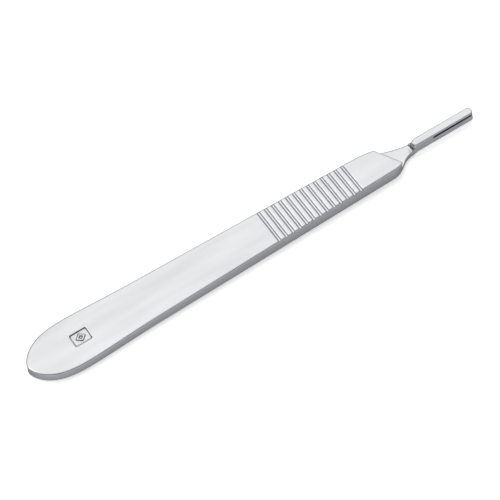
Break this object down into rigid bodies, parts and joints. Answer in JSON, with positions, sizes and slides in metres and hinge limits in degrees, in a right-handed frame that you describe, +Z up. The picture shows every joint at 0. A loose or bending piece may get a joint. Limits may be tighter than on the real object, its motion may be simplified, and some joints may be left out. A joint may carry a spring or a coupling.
{
  "type": "scalpel handle",
  "caption": "Flat stainless steel scalpel handle with a ribbed grip, an oblique shoulder and a slotted rail that a detachable blade slides onto.",
  "frame": {"origin": "middle of the flat back face's overall length and width, on the surface that the handle lies on", "axes": "+X along the handle towards the blade fitting, +Z up out of the front face, the one with the sunk panel, +Y across the handle"},
  "size_m": [0.125, 0.0122, 0.0047],
  "materials": {
    "satin_stainless": "satin, brushed along the handle"
  },
  "bodies": {
    "root": {"scalpel_handle": "satin_stainless"}
  },
  "joints": []
}
